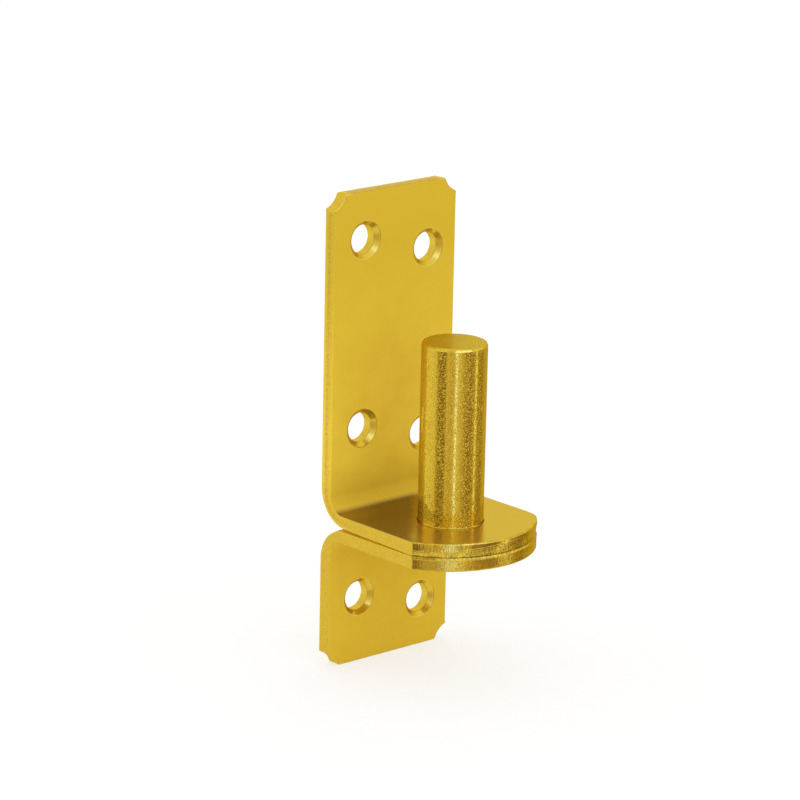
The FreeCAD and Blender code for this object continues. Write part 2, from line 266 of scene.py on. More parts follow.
def rolled_strip_finish(finish):
    """Zinc electroplate with a gold passivation film on cold-rolled strip.

    The upright faces are matt satin, because the film there is thick and scatters light, so they
    look one even gold with faint clouds, and low on the plate they are painted paler, as painted
    light against the shade there. The shelf was pressed between the dies, which leaves it burnished,
    so it mirrors the plate and the pin. Left of the pin, the inside corner holds a dark brown patch
    painted there as the shelf's dark reflection of the plate. Slit sides are torn by half, which
    shows as a speckled band, and the same share paints shade on the sides and a dark line on the
    free ends.
    """
    material, tree = new_material("gold_passivated_zinc_on_rolled_strip")
    # Clouds in the film are 7 mm apart. The satin's grain is finer on the real one, and is drawn at
    # 0.45 mm so that it shows.
    cloud = grain(tree, 7 * MM, 3.0, 0.6)
    satin = grain(tree, 0.45 * MM, 2.0, 0.6)
    axes = add(tree, "ShaderNodeSeparateXYZ", (own_place(tree),)).node.outputs
    height = axes["Z"]

    # The burnished shelf faces up, between the seam and the bend.
    past_seam = add(tree, "ShaderNodeMapRange", (height, -3.7 * MM, -3.4 * MM, 0, 1))
    below_bend = add(tree, "ShaderNodeMapRange", (height, 0.25 * MM, 1.1 * MM, 1, 0))
    facing = add(tree, "ShaderNodeNewGeometry").node.outputs["Normal"]
    facing_up = add(tree, "ShaderNodeSeparateXYZ", (facing,)).node.outputs["Z"]
    level = add(tree, "ShaderNodeMapRange", (facing_up, 0.5, 0.85, 0, 1))
    burnished = add(tree, "ShaderNodeMath", (past_seam, below_bend), operation="MULTIPLY")
    burnished = add(tree, "ShaderNodeMath", (burnished, level), operation="MULTIPLY")

    # Painted light: the upright is painted paler straw yellow from 12 to 15 mm above the seam,
    # turning gold by 65 mm, to lift the shade where the shelf and the pin hide the light low on the
    # plate.
    from_bend = add(tree, "ShaderNodeMapRange", (height, 2 * MM, 12 * MM, 0.3, 1))
    to_top = add(tree, "ShaderNodeMapRange", (height, 15 * MM, 65 * MM, 1, 0))
    # thin is the share of that painted light.
    thin = add(tree, "ShaderNodeMath", (from_bend, to_top), operation="MULTIPLY")
    colours = (thin, linear(finish.gold), linear(finish.straw))
    upright = add(tree, "ShaderNodeMix", colours, data_type="RGBA")
    clouded = add(tree, "ShaderNodeMapRange", (cloud, 0.4, 0.8, 0, 0.35))
    colours = (clouded, upright, linear(finish.amber))
    upright = add(tree, "ShaderNodeMix", colours, data_type="RGBA")

    # Painted reflection: a dark brown patch on the shelf left of the pin stands in for the shelf's
    # dark reflection of the plate there. Its edges run aslant over the shelf and drift by 1 mm.
    aslant = add(tree, "ShaderNodeMath", (axes["X"], 1.1), operation="MULTIPLY")
    aslant = add(tree, "ShaderNodeMath", (aslant, axes["Y"]), operation="SUBTRACT")
    drift = add(tree, "ShaderNodeMapRange", (cloud, 0.3, 0.7, -1 * MM, 1 * MM))
    aslant = add(tree, "ShaderNodeMath", (aslant, drift), operation="ADD")
    near_pin = add(tree, "ShaderNodeMapRange", (aslant, -15 * MM, -11 * MM, 1, 0))
    near_bend = add(tree, "ShaderNodeMapRange", (aslant, -37 * MM, -26 * MM, 0.5, 1))
    dark_reflection_share = add(tree, "ShaderNodeMath", (near_pin, near_bend), operation="MULTIPLY")
    colours = (dark_reflection_share, linear(finish.shelf), linear(finish.painted_dark_reflection))
    pressed = add(tree, "ShaderNodeMix", colours, data_type="RGBA")
    colour = add(tree, "ShaderNodeMix", (burnished, upright, pressed), data_type="RGBA")

    # The torn share mixes in the slit colour: torn metal, and on the sides and the free ends' front
    # edge painted shade as well.
    flecked = add(tree, "ShaderNodeMapRange", (satin, 0.35, 0.65, 0.2, 1.0))
    flecked = add(tree, "ShaderNodeMath", (torn_and_shade_share(tree), flecked), operation="MULTIPLY")
    colour = add(tree, "ShaderNodeMix", (flecked, colour, linear(finish.slit)), data_type="RGBA")
    roughness = add(tree, "ShaderNodeMapRange", (burnished, 0, 1, 0.5, 0.22))
    metallic = add(tree, "ShaderNodeMapRange", (burnished, 0, 1, 0.08, 0.88))
    relief = {"Height": satin, "Strength": 0.25, "Distance": 0.004 * MM}
    plated(tree, finish, colour, roughness, add(tree, "ShaderNodeBump", relief), metallic)
    return material


def sheared_edge_finish(finish):
    """The same zinc on metal that a press has sheared.

    The punch burnishes upright streaks, 0.3 mm apart, and tears the rest of the edge, so the gloss
    breaks up into bright and dark flecks. The film is yellow in places. The lower foot's edge is
    torn all over and smudged with brown, most at its left end.
    """
    material, tree = new_material("gold_passivated_zinc_on_sheared_edge")
    streak = grain(tree, 0.3 * MM, 2.0, 0.6, (1, 1, 0.12))
    fleck = grain(tree, 0.35 * MM, 2.0, 0.65, (1, 1, 0.5))
    cloud = grain(tree, 3 * MM)
    smudge = grain(tree, 0.9 * MM, 3.0, 0.6, (0.4, 0.4, 1))
    axes = add(tree, "ShaderNodeSeparateXYZ", (own_place(tree),)).node.outputs
    lower = add(tree, "ShaderNodeMapRange", (axes["Z"], -4.2 * MM, -3.8 * MM, 1, 0))

    yellow = add(tree, "ShaderNodeMapRange", (cloud, 0.5, 0.6, 0, 0.7))
    colours = (yellow, linear(finish.sheared), linear(finish.straw))
    colour = add(tree, "ShaderNodeMix", colours, data_type="RGBA")

    dull = add(tree, "ShaderNodeMath", (streak, fleck), operation="MULTIPLY")
    dull = add(tree, "ShaderNodeMapRange", (dull, 0.16, 0.36, 0, 0.75))
    brown = add(tree, "ShaderNodeMapRange", (axes["X"], -15 * MM, -8 * MM, 0.8, 0))
    smudge = add(tree, "ShaderNodeMapRange", (smudge, 0.48, 0.6, 0, 0.7))
    brown = add(tree, "ShaderNodeMath", (brown, smudge), operation="MAXIMUM")
    brown = add(tree, "ShaderNodeMath", (brown, lower), operation="MULTIPLY")
    dull = add(tree, "ShaderNodeMath", (dull, brown), operation="MAXIMUM")
    colour = add(tree, "ShaderNodeMix", (dull, colour, linear(finish.bronze)), data_type="RGBA")
    yellow = add(tree, "ShaderNodeMath", (lower, 0.3), operation="MULTIPLY")
    colour = add(tree, "ShaderNodeMix", (yellow, colour, linear(finish.straw)), data_type="RGBA")

    slope = add(tree, "ShaderNodeMapRange", (torn_and_shade_share(tree), 0, 1, 0.2, 0.55))
    least = add(tree, "ShaderNodeMath", (lower, 0.42), operation="MULTIPLY")
    slope = add(tree, "ShaderNodeMath", (slope, least), operation="MAXIMUM")
    relief = {"Height": streak, "Strength": 0.1, "Distance": 0.02 * MM}
    relief["Normal"] = ruffled(tree, 0.32 * MM, slope, (1, 1, 0.7))
    roughness = add(tree, "ShaderNodeMapRange", (fleck, 0.3, 0.7, 0.14, 0.26))
    rougher = add(tree, "ShaderNodeMath", (lower, 0.04), operation="MULTIPLY")
    roughness = add(tree, "ShaderNodeMath", (roughness, rougher), operation="ADD")
    plated(tree, finish, colour, roughness, add(tree, "ShaderNodeBump", relief), 0.9)
    return material


def drilled_finish(finish):
    """The same zinc in the drilled and countersunk holes, and in the punched hollow corners.

    The tools leave a smooth wall with 0.8 mm chatter, so each cone holds one long highlight and one
    dark patch.
    """
    material, tree = new_material("gold_passivated_zinc_in_drilled_hole")
    relief = {"Height": grain(tree, 0.8 * MM), "Strength": 0.3, "Distance": 0.02 * MM}
    relief = add(tree, "ShaderNodeBump", relief)
    plated(tree, finish, linear(finish.sheared), 0.2, relief, 0.8)
    return material


def turned_bar_finish(finish):
    """The same zinc on drawn bar.

    Plating on bright bar gives small, close pits, so each reflection is edged with a sandy speckle.
    The turning tool leaves fine rings on the end face, which is duller. Low on two sides of the
    foot, dark brown is painted shade.
    """
    material, tree = new_material("gold_passivated_zinc_on_turned_bar")
    place = own_place(tree)
    # The real pits are about 0.1 mm across, and are drawn two to three times as coarse to show.
    sand = grain(tree, 0.34 * MM, 1.5, 0.6)
    pit = grain(tree, 0.26 * MM, 1.0, 0.5)
    rings = {"Vector": place, "Scale": 1 / (2.4 * MM), "Distortion": 0.6, "Detail Scale": 3.0}
    options = {"wave_type": "RINGS", "rings_direction": "Z"}
    lathe = add(tree, "ShaderNodeTexWave", rings, **options).node.outputs["Fac"]
    height = add(tree, "ShaderNodeSeparateXYZ", (place,)).node.outputs["Z"]
    end = add(tree, "ShaderNodeMapRange", (height, 44.25 * MM, 44.45 * MM, 0, 1))

    pitted = add(tree, "ShaderNodeMapRange", (pit, 0.45, 0.75, 0, 1.0))
    colours = (pitted, linear(finish.bar), linear(finish.pit))
    colour = add(tree, "ShaderNodeMix", colours, data_type="RGBA")
    ringed = add(tree, "ShaderNodeMapRange", (lathe, 0.2, 0.9, 0.1, 0.6))
    colours = (ringed, linear(finish.bar), linear(finish.bronze))
    faced = add(tree, "ShaderNodeMix", colours, data_type="RGBA")
    colour = add(tree, "ShaderNodeMix", (end, colour, faced), data_type="RGBA")

    # Painted shade: low on two opposite sides of the foot, dark brown stands in for the shade at the
    # foot ring there.
    sideways = (place, (0.75, -0.66, 0))
    sideways = add(tree, "ShaderNodeVectorMath", sideways, operation="DOT_PRODUCT")
    sideways = add(tree, "ShaderNodeMath", (sideways,), operation="ABSOLUTE")
    # dried is the share of that painted shade.
    dried = add(tree, "ShaderNodeMapRange", (sideways, 6.2 * MM, 7.8 * MM, 0, 1))
    low = add(tree, "ShaderNodeMapRange", (height, 0.3 * MM, 0.6 * MM, 1, 0))
    dried = add(tree, "ShaderNodeMath", (low, dried), operation="MULTIPLY")
    colour = add(tree, "ShaderNodeMix", (dried, colour, linear(finish.painted_foot_shade)), data_type="RGBA")

    # A pit is either there or not, and the turned chamfer has none.
    steep = add(tree, "ShaderNodeMapRange", (sand, 0.5, 0.57, 0.05, 2.6))
    plain_bar = add(tree, "ShaderNodeMapRange", (height, 43.5 * MM, 43.75 * MM, 1, 0.04))
    steep = add(tree, "ShaderNodeMath", (steep, plain_bar), operation="MULTIPLY")
    relief = {"Height": lathe, "Strength": 0.9, "Distance": 0.05 * MM}
    relief["Normal"] = ruffled(tree, 0.21 * MM, steep)
    polish = add(tree, "ShaderNodeMapRange", (sand, 0.3, 0.7, 0.05, 0.1))
    polish = add(tree, "ShaderNodeMix", (end, polish, 0.3))
    plated(tree, finish, colour, polish, add(tree, "ShaderNodeBump", relief), 0.84)
    return material


# Plates


def arc(centre, radius, first, last, steps, hollow=False):
    """Points on an arc, each with the direction that faces out of the metal."""
    facing = -1 if hollow else 1
    made = []
    for step in range(steps + 1):
        turn = math.radians(first + (last - first) * step / steps)
        along = Vector((math.cos(turn), math.sin(turn)))
        made.append((Vector(centre) + along * radius, along * facing))
    return made


class Fold:
    """Carries places on the flat blank round one plate's bend.

    A blank has x across, s along from the nose to the free end, and a share of its thickness from
    the inner face, 0, to the seam and wall face, 1.
    """

    def __init__(self, strip, plate):
        self.thickness = strip.thickness
        self.wall = strip.wall
        self.front = strip.wall - strip.thickness
        self.inside = plate.inside
        self.outside = plate.outside
        self.shelf_inner = self.front - plate.inside
        self.shelf_outer = self.wall - plate.outside
        self.run = 2 * MM
        self.start = min(self.shelf_inner, self.shelf_outer)
        self.end = self.start + math.pi / 2 * (plate.inside + strip.thickness / 2)
        self.upright = max(strip.thickness + plate.inside, plate.outside) + self.run

    def along(self, height):
        """Where on the blank a height above the seam lies."""
        return self.end + self.run + height - self.upright

    def rows(self, steps=26):
        return [self.start + (self.end - self.start) * step / steps for step in range(steps + 1)]

    def faces(self, s):
        """The inner and the outer point, as (y, z), across the thickness at one place."""
        thickness = self.thickness
        if s <= self.start - self.run:
            return Vector((s, thickness)), Vector((s, 0))
        if s < self.start:
            share = (s - self.start + self.run) / self.run
            before = self.start - self.run
            inner = Vector((before + (self.shelf_inner - before) * share, thickness))
            return inner, Vector((before + (self.shelf_outer - before) * share, 0))
        if s <= self.end:
            turn = (s - self.start) / (self.end - self.start) * math.pi / 2
            across, up = math.sin(turn), 1 - math.cos(turn)
            inner = Vector((self.shelf_inner + self.inside * across, thickness + self.inside * up))
            return inner, Vector((self.shelf_outer + self.outside * across, self.outside * up))
        inner_end = thickness + self.inside
        if s < self.end + self.run:
            share = (s - self.end) / self.run
            inner = Vector((self.front, inner_end + (self.upright - inner_end) * share))
            return inner, Vector((self.wall, self.outside + (self.upright - self.outside) * share))
        height = self.upright + s - self.end - self.run
        return Vector((self.front, height)), Vector((self.wall, height))

    def place(self, x, s, share):
        inner, outer = self.faces(s)
        y, z = inner.lerp(outer, share)
        return Vector((x, y, z))


def nose_corner(strip, side, shift, soft):
    """Centre of the rounding between one side and the nose, and where the nose takes over."""
    middle = strip.nose_radius - strip.nose_reach
    across = side * (strip.width / 2 - soft)
    along = middle - math.sqrt((strip.nose_radius - soft) ** 2 - (across - shift) ** 2)
    return (across, along), math.degrees(math.atan2(along - middle, across - shift)) % 360


def blank_outline(strip, fold, height, turned_over):
    """The blank's outline, anticlockwise, as (place, facing, kind of edge, distance from nose)."""
    corner = strip.width / 2
    top = fold.along(height)
    offset = strip.scallop_offset
    both = strip.scallop + strip.lip
    rise = offset + strip.lip
    run = math.sqrt(both * both - rise * rise)
    reach = run - offset
    lean = math.degrees(math.atan2(rise, run))
    shift = -strip.nose_shift if turned_over else strip.nose_shift
    softs = [strip.left_corner, strip.right_corner]
    if turned_over:
        softs.reverse()
    left_round, left_turn = nose_corner(strip, -1, shift, softs[0])
    right_round, right_turn = nose_corner(strip, 1, shift, softs[1])

    def side(start, x, facing):
        steps = [start + step * MM for step in (0.0, 0.15, 0.3, 0.5, 0.8, 1.2, 1.7, 2.4, 3.5)]
        steps += [fold.start - 14 * MM, fold.start - 8 * MM]
        steps += [fold.start - fold.run, *fold.rows(), fold.end + fold.run, top - reach]
        return [((x, s), (facing, 0), "side", s - start) for s in steps]

    def edged(points, kind):
        return [(tuple(place), tuple(facing), kind, 0.0) for place, facing in points]

    lip, bite, far = strip.lip, strip.scallop, corner + offset
    ends = edged(arc((corner - lip, top - reach), lip, 0, 90 - lean, 7)[1:], "cut")
    ends += edged(arc((far, top + offset), bite, 270 - lean, 180 + lean, 16, True)[1:], "cut")
    ends += edged(arc((corner - reach, top - lip), lip, lean, 90, 7)[1:], "cut")
    ends += [((x * MM, top), (0, 1), "end", 0.0) for x in range(14, -15, -1)]
    ends += edged(arc((reach - corner, top - lip), lip, 90, 180 - lean, 7), "cut")
    ends += edged(arc((-far, top + offset), bite, 360 - lean, 270 + lean, 16, True)[1:], "cut")
    ends += edged(arc((lip - corner, top - reach), lip, 90 + lean, 180, 7)[1:-1], "cut")
    nose = edged(arc(left_round, softs[0], 180, left_turn, 8)[1:-1], "nose")
    columns = round(math.radians(right_turn - left_turn) * strip.nose_radius / (0.11 * MM))
    centre = (shift, strip.nose_radius - strip.nose_reach)
    nose += edged(arc(centre, strip.nose_radius, left_turn, right_turn, columns), "nose")
    nose += edged(arc(right_round, softs[1], right_turn, 360, 24)[1:-1], "nose")
    right_side = side(right_round[1], corner, 1)
    left_side = side(left_round[1], -corner, -1)
    return right_side + ends + left_side[::-1] + nose


# How far the rows that join an edge to the face beside it reach onto that face.
FACE_MARGIN = 0.12 * MM


def edge_ladder(form):
    """Steps down an edge, from the inner face to the seam face, as (inset, depth)."""
    front, back, taper, ridge = form["front"], form["back"], form["taper"], form["ridge"]
    thickness, bulge = form["thickness"], form["bulge"]
    steps = [(bulge + front + FACE_MARGIN, 0.0)]
    for step in range(6):
        turn = math.pi / 2 * step / 5
        steps.append((bulge + front * (1 - math.sin(turn)), front * (1 - math.cos(turn))))
    low = thickness - back - form["gap"]
    for share in (0.08, 0.9, 0.98):
        steps.append((bulge, front + (ridge - bulge * 1.1 - front) * share))
    steps.append((0.0, ridge))
    steps.append((0.3 * taper, ridge + 0.16 * (low - ridge)))
    for share in (0.35, 0.55, 0.75, 0.92):
        steps.append((taper * share, ridge + (low - ridge) * share))
    for step in range(5):
        turn = math.pi / 2 * step / 4
        steps.append((taper + back * (1 - math.cos(turn)), low + back * math.sin(turn)))
    reach = taper + back + form["gap_reach"]
    steps.append((reach, thickness - form["gap"]))
    steps.append((reach + FACE_MARGIN / 3, thickness))
    steps.append((reach + FACE_MARGIN, thickness))
    return steps


# Steps of the ladder on the burnished band, and those in torn metal.
LAND_STEPS = range(6, 11)
TORN_STEPS = range(11, 17)
# How torn the metal is at each step: on the nose, the slit sides and the free ends, and on the
# sides that the dies pressed smoother, which are the feet's and all of the lower plate's. The torn
# share also darkens the colour. On the slit and pressed sides it is partly painted shade that
# darkens those faces, and on the free ends steps 3 to 5 paint a dark line along the front edge as
# a burr's shadow.
TEARS_AND_SHADE = {
    "nose": {11: 0.2, 12: 0.7, 13: 1.0, 14: 1.0, 15: 0.9, 16: 0.5},
    "side": {6: 0.3, 7: 0.4, 8: 0.4, 9: 0.4, 10: 0.5, 11: 0.8, 12: 0.8, 13: 0.4, 14: 0.2},
    "end": {3: 0.8, 4: 1.0, 5: 0.9, **dict.fromkeys(range(6, 12), 0.7), 12: 0.6, 13: 0.4},
    "pressed": dict.fromkeys(range(4, 17), 0.45),
}


def edge_form(strip, plate, fold, place, kind, distance, turned_over):
    """How the edge is shaped at one place of the outline."""
    on_shelf = 1 - min(1, max(0, (place[1] - fold.start + 4 * MM) / (4 * MM)))
    back = plate.back_edge + (plate.seam_edge - plate.back_edge) * on_shelf
    form = {"thickness": strip.thickness, "front": plate.front_edge, "back": back}
    form.update({"taper": 0.0, "ridge": 1.2 * MM, "bulge": 0.0, "streak": 0.0})
    form.update({"tear": 0.0, "gap": 0.0, "gap_reach": 0.05 * MM})
    if kind in ("cut", "end"):
        form.update({"front": 0.25 * MM, "back": 0.12 * MM, "taper": 0.05 * MM})
        form.update({"streak": 0.006 * MM, "tear": 0.01 * MM})
    across = -place[0] if turned_over else place[0]
    leftness = min(1, max(0, (2 * MM - across) / (19 * MM)))
    land = plate.right_land + (plate.left_land - plate.right_land) * leftness ** 1.3
    taper = strip.taper * (0.5 - 0.45 * leftness if turned_over else 1.0)
    bulge = (0.06 + 0.08 * leftness) * MM
    nose_form = {"front": 0.42 * MM, "back": 0.16 * MM, "taper": taper, "gap": 0.03 * MM}
    nose_form.update({"ridge": land, "bulge": bulge, "streak": 0.006 * MM, "tear": 0.03 * MM})
    if kind == "nose":
        form.update(nose_form)
    elif kind == "side" and place[1] < fold.start:
        share = max(0.0, 1 - distance / (1.6 * MM)) ** 2
        for key, value in nose_form.items():
            form[key] += (value - form[key]) * share
        opening = (distance - 1.5 * MM) / (fold.start - place[1] + distance)
        form["gap"] = max(form["gap"], strip.gap * max(0.0, opening) ** 0.55)
        form["gap_reach"] = 0.05 * MM + 2.4 * MM * min(1, max(0.0, opening) * 8)
    elif kind == "side" and place[1] < fold.end:
        ease = (place[1] - fold.start) / (fold.end - fold.start)
        form["gap"] = strip.gap * max(0.0, 1 - ease * 2)
        form["gap_reach"] = 0.05 * MM + 2.4 * MM * max(0.0, 1 - ease * 2)
    return form


def wrapped_rings(strip, plate, fold, outline, turned_over, seed):
    """Rings of (x, s, share) down the edge, one for each step of the ladder."""
    columns = []
    for place, facing, kind, distance in outline:
        form = edge_form(strip, plate, fold, place, kind, distance, turned_over)
        ladder = edge_ladder(form)
        spot = Vector((place[0], place[1], seed * MM)) / (0.33 * MM)
        wide = Vector((place[0], place[1], seed * MM)) / (1.6 * MM)
        streak = form["streak"] * (noise.noise(spot) + 0.6 * noise.noise(wide))
        column = []
        for step, (inset, depth) in enumerate(ladder):
            if step in LAND_STEPS:
                inset = max(inset + streak, 0.0)
            elif step in TORN_STEPS:
                fleck = Vector((place[0], place[1], seed * MM + 2 * depth)) / (0.4 * MM)
                inset += 0.5 * streak + form["tear"] * (noise.noise(fleck) + 0.5)
                inset = max(inset, 0.0)
            across = place[0] - facing[0] * inset
            along = place[1] - facing[1] * inset
            column.append((across, along, depth / form["thickness"]))
        columns.append(column)
    return [list(ring) for ring in zip(*columns)]


HOLE_COLUMNS = 96


def hole_rings(strip, centre, sunk, radius):
    """Rings of (x, s, share) down one hole, from the inner face to the outer one."""
    thickness = strip.thickness
    ladder = []
    soft = 0.1 * MM
    if sunk:
        rim = strip.sink / 2
        cone = rim - radius
        ladder += [(rim + 0.2 * MM, 0), (rim + 0.06 * MM, 0)]
        ladder += [(rim, 0.02 * MM), (rim - 0.05 * MM, 0.06 * MM)]
        for step in range(1, 9):
            ring_mark = (0.012 if step % 2 else -0.006) * MM
            share = step / 9
            ladder.append((rim - cone * share + ring_mark, cone * share + ring_mark))
        ladder += [(radius + 0.04 * MM, cone - 0.03 * MM), (radius, cone + 0.06 * MM)]
    else:
        ladder += [(radius + 0.2 * MM, 0), (radius + 0.05 * MM, 0), (radius, 0.05 * MM)]
    ladder += [(radius, thickness / 2 + 0.3 * MM), (radius, thickness - soft - 0.1 * MM)]
    for step in range(4):
        turn = math.pi / 2 * step / 3
        out = soft * (1 - math.cos(turn))
        ladder.append((radius + out, thickness - soft + soft * math.sin(turn)))
    ladder.append((radius + soft + 0.15 * MM, thickness))
    rings = []
    for reach, depth in ladder:
        ring = []
        for step in range(HOLE_COLUMNS):
            turn = 2 * math.pi * step / HOLE_COLUMNS
            x = centre[0] + reach * math.cos(turn)
            ring.append((x, centre[1] + reach * math.sin(turn), depth / thickness))
        rings.append(ring)
    return rings


def inside(point, loop):
    """Whether a flat point lies within a closed loop."""
    within = False
    for index, (x2, y2) in enumerate(loop):
        x1, y1 = loop[index - 1]
        if (y1 > point[1]) != (y2 > point[1]):
            if point[0] < (x2 - x1) * (point[1] - y1) / (y2 - y1) + x1:
                within = not within
    return within


def fill_face(fold, rim, holes, share, keep):
    """Triangles over one face of the blank, in rows round the bend.

    A corner on the rim or a hole is its place in them, and a new one is the number that keep gives.
    """
    flat = [(x, s) for x, s, _ in rim]
    loops = [list(range(len(flat)))]
    for hole in holes:
        loops.append(list(range(len(flat), len(flat) + len(hole))))
        flat += [(x, s) for x, s, _ in hole]
    lines = [(loop[index - 1], loop[index]) for loop in loops for index in range(len(loop))]
    known = len(flat)
    for s in [fold.start - fold.run, *fold.rows(), fold.end + fold.run]:
        on_row = [index for index in loops[0] if abs(flat[index][1] - s) < 1e-7]
        left = min(on_row, key=lambda index: flat[index][0])
        right = max(on_row, key=lambda index: flat[index][0])
        row = [left]
        for step in range(-4, 5):
            flat.append((step * 4 * MM, s))
            row.append(len(flat) - 1)
        row.append(right)
        lines += list(zip(row, row[1:]))
    scale = 1000
    given = [Vector((x * scale, s * scale)) for x, s in flat]
    points, _, faces, origins, _, _ = delaunay_2d_cdt(given, lines, [], 0, 1e-5)
    outline = [(flat[index][0], flat[index][1]) for index in loops[0]]
    openings = [[(flat[index][0], flat[index][1]) for index in loop] for loop in loops[1:]]
    numbers = []
    for point, origin in zip(points, origins):
        if not origin:
            raise RuntimeError("two lines of a plate's face cross")
        numbers.append(origin[0])
    extra = {}
    triangles = []
    for face in faces:
        middle = sum((points[index] for index in face), Vector((0, 0))) / len(face) / scale
        if not inside(middle, outline) or any(inside(middle, hole) for hole in openings):
            continue
        triangle = []
        for index in face:
            number = numbers[index]
            if number >= known:
                if number not in extra:
                    extra[number] = keep((*flat[number], share))
                triangle.append(extra[number])
            else:
                triangle.append(number)
        triangles.append(triangle)
    return triangles


def bent_plate(name, node, strip, plate, holes, turned_over, seed, finishes):
    """One plate: blank with its edges and holes, folded, and put where the node is."""
    fold = Fold(strip, plate)
    outline = blank_outline(strip, fold, plate.height, turned_over)
    edge = wrapped_rings(strip, plate, fold, outline, turned_over, seed)
    wells = [hole_rings(strip, (x, fold.along(z)), True, strip.hole / 2) for x, z in holes]
    wells.append(hole_rings(strip, (0, 0), False, strip.tenon / 2))
    places = []
    torn = []
    faces = []

    def keep(spot, share=0.0):
        places.append(spot)
        torn.append(share)
        return len(places) - 1

    def sleeve(rings, kinds, tear):
        numbers = []
        for step, ring in enumerate(rings):
            kept = [keep(spot, tear[index].get(step, 0.0)) for index, spot in enumerate(ring)]
            numbers.append(kept)
        for upper, lower in zip(numbers, numbers[1:]):
            for index in range(len(upper)):
                corners = (upper[index - 1], upper[index], lower[index], lower[index - 1])
                faces.append((corners, kinds(index)))
        return numbers[0], numbers[-1]

    kinds = [{"nose": 1, "cut": 2}.get(kind, 0) for _, _, kind, _ in outline]
    tears = []
    for place, _, kind, _ in outline:
        pressed = kind == "side" and (turned_over or place[1] < fold.start)
        tears.append(TEARS_AND_SHADE.get("pressed" if pressed else kind, {}))
    ends = [sleeve(edge, lambda index: max(kinds[index], kinds[index - 1]), tears)]
    ends += [sleeve(well, lambda index: 2, [{}] * len(well[0])) for well in wells]
    for level, share in ((0, 0.0), (-1, 1.0)):
        rims = [edge[level]] + [well[level] for well in wells]
        numbers = [number for end in ends for number in end[level]]
        for triangle in fill_face(fold, rims[0], rims[1:], share, lambda spot: -1 - keep(spot)):
            corners = [numbers[index] if index >= 0 else -1 - index for index in triangle]
            faces.append((corners, 0))
    drop = strip.thickness
    points = []
    for spot in places:
        point = fold.place(*spot)
        if turned_over:
            point = Vector((-point.x, point.y, -point.z))
        points.append(point - Vector((0, 0, drop)))
    mesh = bpy.data.meshes.new(name)
    mesh.from_pydata(points, [], [corners for corners, _ in faces])
    for material in finishes:
        mesh.materials.append(material)
    mesh.polygons.foreach_set("material_index", [kind for _, kind in faces])
    mesh.attributes.new("torn", "FLOAT", "POINT").data.foreach_set("value", torn)
    close_and_smooth(mesh)
    return finished_piece(name, mesh, node)


def close_and_smooth(mesh):
    """Turns every face outwards, and stops if the skin is open anywhere."""
    shell = bmesh.new()
    shell.from_mesh(mesh)
    bmesh.ops.remove_doubles(shell, verts=shell.verts, dist=1e-7)
    bmesh.ops.recalc_face_normals(shell, faces=shell.faces)
    for face in shell.faces:
        face.smooth = True
    if any(not edge.is_manifold for edge in shell.edges):
        raise RuntimeError(f"{mesh.name} isn't closed")
    if shell.calc_volume(signed=True) < 0:
        bmesh.ops.reverse_faces(shell, faces=shell.faces)
    shell.to_mesh(mesh)
    shell.free()


def finished_piece(name, mesh, node):
    """Puts the piece in the scene in place of a CAD node."""
    piece = bpy.data.objects.new(name, mesh)
    bpy.context.scene.collection.objects.link(piece)
    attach(piece, "root")
    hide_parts(node)
    return piece


# Pin


def pin_section(tree, given):
    """Corners of the pin's half section as (radius, height, softness), from the tree's inputs.

    The chamfer is turned in two cuts, a steep one and a flatter one.
    """
    chamfer, top, soft = given["Chamfer"], given["Height"], given["Edge softness"]
    bar = add(tree, "ShaderNodeMath", (given["Diameter"], 0.5), operation="MULTIPLY")
    tenon = add(tree, "ShaderNodeMath", (given["Tenon"], 0.5), operation="MULTIPLY")
    head = add(tree, "ShaderNodeMath", (given["Rivet head"], 0.5), operation="MULTIPLY")
    head_flat = add(tree, "ShaderNodeMath", (head, 2.6 * MM), operation="SUBTRACT")
    crown = 1.6 * MM
    under = add(tree, "ShaderNodeMath", (0.0, given["Shelf depth"]), operation="SUBTRACT")
    bottom = (under, given["Rivet head height"])
    bottom = add(tree, "ShaderNodeMath", bottom, operation="SUBTRACT")
    ring = add(tree, "ShaderNodeMath", (bar, given["Foot ring"]), operation="ADD")
    ring_slope = add(tree, "ShaderNodeMath", (bar, 0.05 * MM), operation="ADD")
    ring_top = given["Foot ring height"]
    steep_start = add(tree, "ShaderNodeMath", (chamfer, -1.15, top), operation="MULTIPLY_ADD")
    steep_end = add(tree, "ShaderNodeMath", (chamfer, -0.38, bar), operation="MULTIPLY_ADD")
    flat_start = add(tree, "ShaderNodeMath", (chamfer, -0.33, top), operation="MULTIPLY_ADD")
    rim = add(tree, "ShaderNodeMath", (bar, chamfer), operation="SUBTRACT")
    # Rows close to a corner keep its smooth shading narrow.
    near = 0.3 * MM
    above_ring = add(tree, "ShaderNodeMath", (ring_top, near), operation="ADD")
    below_steep = add(tree, "ShaderNodeMath", (steep_start, near), operation="SUBTRACT")
    inside_rim = add(tree, "ShaderNodeMath", (rim, near), operation="SUBTRACT")
    return [
        (0.0, bottom, 0.0),
        (head_flat, bottom, 0.0),
        (head, bottom, crown),
        (head, under, soft),
        (tenon, under, 0.0),
        (tenon, 0.0, 0.0),
        (ring, 0.0, 0.0),
        (ring, 0.04 * MM, 0.02 * MM),
        (ring_slope, 0.09 * MM, 0.05 * MM),
        (bar, ring_top, 0.0),
        (bar, above_ring, 0.0),
        (bar, below_steep, 0.0),
        (bar, steep_start, soft),
        (steep_end, flat_start, soft),
        (rim, top, soft),
        (inside_rim, top, 0.0),
        (0.0, top, 0.0),
    ]


